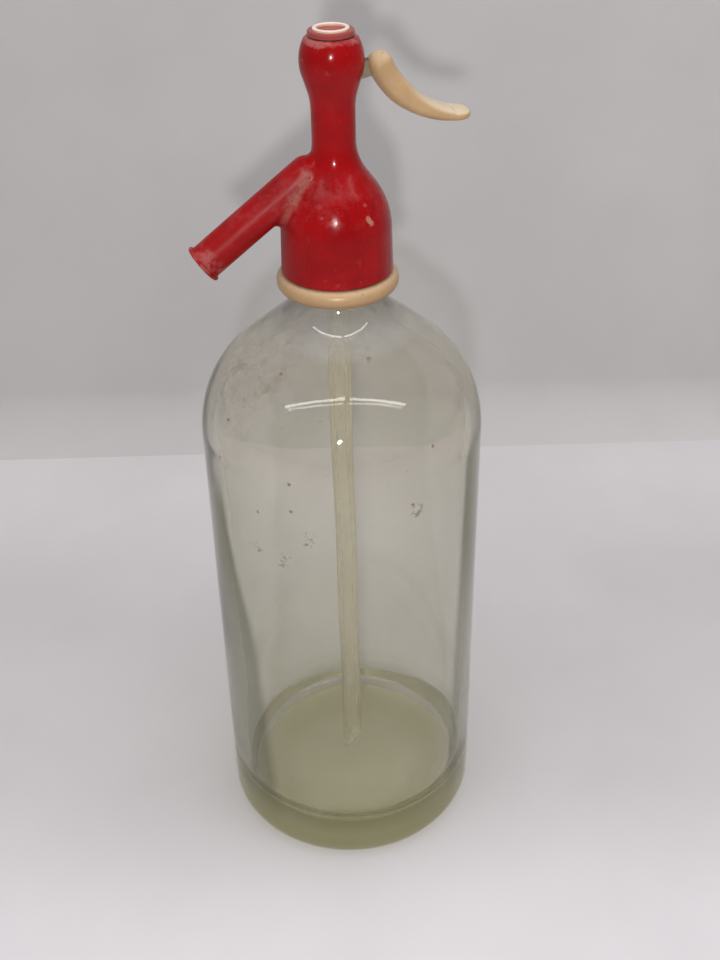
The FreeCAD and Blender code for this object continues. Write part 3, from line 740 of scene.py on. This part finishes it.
def turned_metal(name, colour, tarnish, rough):
    """Metal with fine rings from turning, tarnished in clouds."""
    m = Finish(name)
    cloud = m.noise(0.004, detail=5, rough=0.65)
    rings = m.noise(0.0006, stretch=(0.2, 0.2, 3), detail=2, seed=3)
    shader = m.add(
        "BsdfPrincipled",
        {
            "Base Color": m.mixed(m.step(cloud, 0.42, 0.7), colour, tarnish),
            "Metallic": 1.0,
            "Roughness": m.sum(m.step(cloud, 0.3, 0.7, rough, rough + 0.2), m.times(rings, 0.08)),
            "Normal": m.bump(rings, 0.00004),
        },
    )
    return m.finish(shader)


red = red_moulding("red_moulding", rim_paling=0.42, spout_haze=0.26)
cap_red = red_moulding("cap_red", dust=0.34)
# In the ivory finishes below, the paler top colour is a painted highlight where the surface faces up; on
# the handle it weakens towards the root.
handle_ivory = ivory_moulding(
    "handle_ivory", tone=(0.49, 0.32, 0.165), lit_top=(0.69, 0.58, 0.43), fade=(0.012, 0.034)
)
cap_ivory = ivory_moulding("cap_ivory", tone=(0.78, 0.55, 0.46), lit_top=(0.90, 0.72, 0.62))
# The collar's dirt stretch paints shade on its lower half, with some dirt at the bottom edge.
collar_ivory = ivory_moulding(
    "collar_ivory", tone=(0.48, 0.31, 0.16), lit_top=(0.58, 0.40, 0.25), dirt=(0.2375, 0.2335), joint=0.2387
)
glass = old_glass()
tube = milky_tube()
white = plain_plastic("white_plastic", (0.72, 0.70, 0.62), 0.4)
rubber = plain_plastic("black_rubber", (0.035, 0.032, 0.03), 0.6)
pale_rubber = plain_plastic("pale_rubber", (0.42, 0.37, 0.28), 0.6)
brown_rubber = plain_plastic("brown_rubber", (0.085, 0.022, 0.02), 0.6)
brass = turned_metal("turned_brass", (0.70, 0.50, 0.22), (0.42, 0.30, 0.14), 0.28)
steel = turned_metal("plated_steel", (0.55, 0.53, 0.50), (0.30, 0.28, 0.25), 0.3)
arm_steel = turned_metal("dull_plating", (0.33, 0.29, 0.21), (0.21, 0.17, 0.11), 0.42)

finishes = {
    "neck_ring": collar_ivory,
    "split_ring_left": brass,
    "split_ring_right": brass,
    "mouth_gasket": pale_rubber,
    "tube_holder": white,
    "tube_seal": pale_rubber,
    "dip_tube": tube,
    "head_shell": red,
    "valve_seat": brass,
    "seat_washer": rubber,
    "valve_rubber": rubber,
    "plunger_stem": brass,
    "stem_seal": rubber,
    "gland_bush": brass,
    "plunger_yoke": brass,
    "spring_washer": steel,
    "cap_gasket": brown_rubber,
    "top_cap": cap_red,
    "cap_ring": cap_ivory,
    "lever_pin": steel,
    "lever_arm": arm_steel,
}
for name, finish in finishes.items():
    wear(nodes[name], finish)
wear(bottle, glass)
wear(handle, handle_ivory)
wear(spring, steel)


# ------------------------------------------------------------------------ camera
camera_pitch = math.radians(34.13)
camera_roll = math.radians(-1.11)
camera_yaw = math.radians(0.93)
camera_turn = math.radians(-13.0)
camera_distance = 0.3765
camera_height = 0.4088
camera_lens = 45.94

turn_matrix = Matrix.Rotation(camera_turn, 3, "Z")
ahead = np.array(
    [
        math.sin(camera_yaw) * math.cos(camera_pitch),
        math.cos(camera_yaw) * math.cos(camera_pitch),
        -math.sin(camera_pitch),
    ]
)
level = np.array([math.cos(camera_yaw), -math.sin(camera_yaw), 0])
above = np.cross(level, ahead)
camera_right = math.cos(camera_roll) * level + math.sin(camera_roll) * above
camera_up = -math.sin(camera_roll) * level + math.cos(camera_roll) * above
camera_axes = turn_matrix @ Matrix(np.stack([camera_right, camera_up, -ahead], 1).tolist())
camera_place = turn_matrix @ Vector((0, -camera_distance, camera_height))

camera_data = bpy.data.cameras.new("camera")
camera_data.lens = camera_lens
camera_data.sensor_width = 36
camera_data.clip_start = 0.01
camera = bpy.data.objects.new("camera", camera_data)
bpy.context.scene.collection.objects.link(camera)
camera.matrix_world = Matrix.Translation(camera_place) @ camera_axes.to_4x4()
bpy.context.scene.camera = camera


# ------------------------------------------------------------------ floor and wall
def stage_point(x, y, z):
    """A point of the room, given square to the camera, in the object's frame."""
    return tuple(turn_matrix @ Vector((x, y, z)))


room_right = stage_point(1, 0, 0)
room_back = stage_point(0, 1, 0)


def plain_cloth(name, colour, light_ramps, one_sided=False):
    """Pale cloth. Each ramp is (axis, from, to, gain), painted light: the cloth is brighter by gain at the
    far end of a stretch along an axis of the room. One-sided cloth can't be seen from behind."""
    m = Finish(name)
    tone = m.step(m.noise(0.12), 0.3, 0.7, 0.97, 1.03)
    for axis, start, end, gain in light_ramps:
        along = m.vector("DOT_PRODUCT", m.place, axis, output=1)
        tone = m.times(tone, m.step(along, start, end, 1.0, gain))
    folds = m.bump(m.noise(0.03, seed=2), 0.0006)
    shader = m.add("BsdfDiffuse", {"Color": m.scaled(colour, tone), "Roughness": 0.5, "Normal": folds})
    if one_sided:
        back = m.add("NewGeometry", output="Backfacing")
        shader = m.add("MixShader", {0: back, 1: shader, 2: m.add("BsdfTransparent")})
    return m.finish(shader)


def sheet(name, rows, finish):
    """A sheet of the room through rows of two points each."""
    corners = [point for row in rows for point in row]
    faces = [(2 * i, 2 * i + 1, 2 * i + 3, 2 * i + 2) for i in range(len(rows) - 1)]
    mesh = bpy.data.meshes.new(name)
    mesh.from_pydata(corners, [], faces)
    mesh.polygons.foreach_set("use_smooth", np.ones(len(faces), bool))
    cloth = bpy.data.objects.new(name, mesh)
    bpy.context.scene.collection.objects.link(cloth)
    cloth.data.materials.append(finish)


floor_z = -0.0003
floor_half = 3.0
wall_distance = 0.666
wall_half = 0.34
wall_height = 0.6
cove_radius = 0.03

# Painted light: the floor is brighter towards the camera and beyond the object, the wall brighter on the
# right.
floor_light_ramps = ((room_back, 0.0, -0.09, 1.22), (room_back, 0.08, 0.24, 1.13))
floor_cloth = plain_cloth("floor_cloth", (0.575, 0.55, 0.56), floor_light_ramps)
wall_light_ramps = ((room_right, -0.1, 0.2, 1.06),)
wall_cloth = plain_cloth("wall_cloth", (0.565, 0.545, 0.54), wall_light_ramps, one_sided=True)
floor_rows = [((-floor_half, y, floor_z), (floor_half, y, floor_z)) for y in (-floor_half, floor_half)]
sheet("floor", floor_rows, floor_cloth)
wall_y = wall_distance - camera_distance
cove = arc_points((wall_y - cove_radius, cove_radius), cove_radius, cove_radius, -90, 0, 17)
rise = [*cove.tolist(), (wall_y, wall_height)]
sheet("wall", [(stage_point(-wall_half, y, z), stage_point(wall_half, y, z)) for y, z in rise], wall_cloth)


# ------------------------------------------------------------------------- light
shown_grey = (0.62, 0.60, 0.60, 1)
soft_white = (0.86, 0.87, 0.9, 1)
soft_strength = 0.5
near_glow = 0.15
far_glow = 0.4


def make_room():
    """The world: the camera and clear glass see a pale wall, reflections see a room that is dim on the
    camera's side and pale on the far side, and the rest is soft light."""
    world = bpy.data.worlds.new("room")
    bpy.context.scene.world = world
    world.use_nodes = True
    tree = world.node_tree
    add = partial(add_node, tree)
    shown = add("Background", {"Color": shown_grey, "Strength": 1.0})
    lit = add("Background", {"Color": soft_white, "Strength": soft_strength})
    sight = add("TexCoord", output="Generated")
    back = add("VectorMath", {0: sight, 1: room_back}, output=1, operation="DOT_PRODUCT")
    reach = {"From Min": -0.35, "From Max": 0.35, "To Min": near_glow, "To Max": far_glow}
    glow = add("MapRange", {"Value": back, **reach})
    mirrored = add("Background", {"Color": soft_white, "Strength": glow})
    glossy = add("LightPath", output="Is Glossy Ray")
    seen = add("LightPath", output="Is Camera Ray")
    through = add("LightPath", output="Is Transmission Ray")
    direct = add("Math", {0: seen, 1: through}, operation="MAXIMUM")
    soft = add("MixShader", {0: glossy, 1: lit, 2: mirrored})
    whole = add("MixShader", {0: direct, 1: soft, 2: shown})
    tree.links.new(whole, tree.nodes["World Output"].inputs["Surface"])


def area_lamp(name, place, aim, size, power, mirrored=True, along=room_right):
    """A lamp that faces a point: a disk, or a strip of (length, width) that runs along a direction."""
    data = bpy.data.lights.new(name, "AREA")
    if isinstance(size, tuple):
        data.shape = "RECTANGLE"
        data.size, data.size_y = size
    else:
        data.shape = "DISK"
        data.size = size
    data.energy = power
    lamp = bpy.data.objects.new(name, data)
    lamp.visible_glossy = mirrored
    lamp.visible_transmission = mirrored
    bpy.context.scene.collection.objects.link(lamp)
    toward = (Vector(aim) - Vector(place)).normalized()
    up = Vector(along).cross(toward).normalized()
    lamp_axes = Matrix((toward.cross(up), up, -toward)).transposed()
    lamp.matrix_world = Matrix.Translation(place) @ lamp_axes.to_4x4()


make_room()
spot_place = stage_point(-0.02, -0.60, 0.432)
spot_size = 0.022
spot_power = 1.7
area_lamp("front_spot", spot_place, (0, 0, 0.16), spot_size, spot_power)

# Two strips in a flat V over the camera throw the long bent reflection on the shoulder.
strip_aim = (0, 0, 0.21)
strip_size = (1.1, 0.07)
strip_power = 2.1
strip_slant = 0.08
for name, x, slant in (("strip_left", -0.45, strip_slant), ("strip_right", 0.65, -strip_slant)):
    place = stage_point(x, -0.5375, 1.38)
    area_lamp(name, place, strip_aim, strip_size, strip_power, along=stage_point(1, slant, 0))

# The wide lamp lights the object from above and isn't mirrored in it.
soft_place = (0.1, -0.1, 1.3)
soft_size = 0.9
soft_power = 5.2
area_lamp("soft_top", soft_place, (0, 0, 0.1), soft_size, soft_power, mirrored=False)

# Light passes many faces inside thick glass before it gets out.
bounces = 28
cycles = bpy.context.scene.cycles
cycles.max_bounces = bounces
cycles.glossy_bounces = bounces
cycles.transmission_bounces = bounces
cycles.transparent_max_bounces = bounces

bpy.context.scene.view_settings.view_transform = "Standard"
bpy.context.view_layer.update()
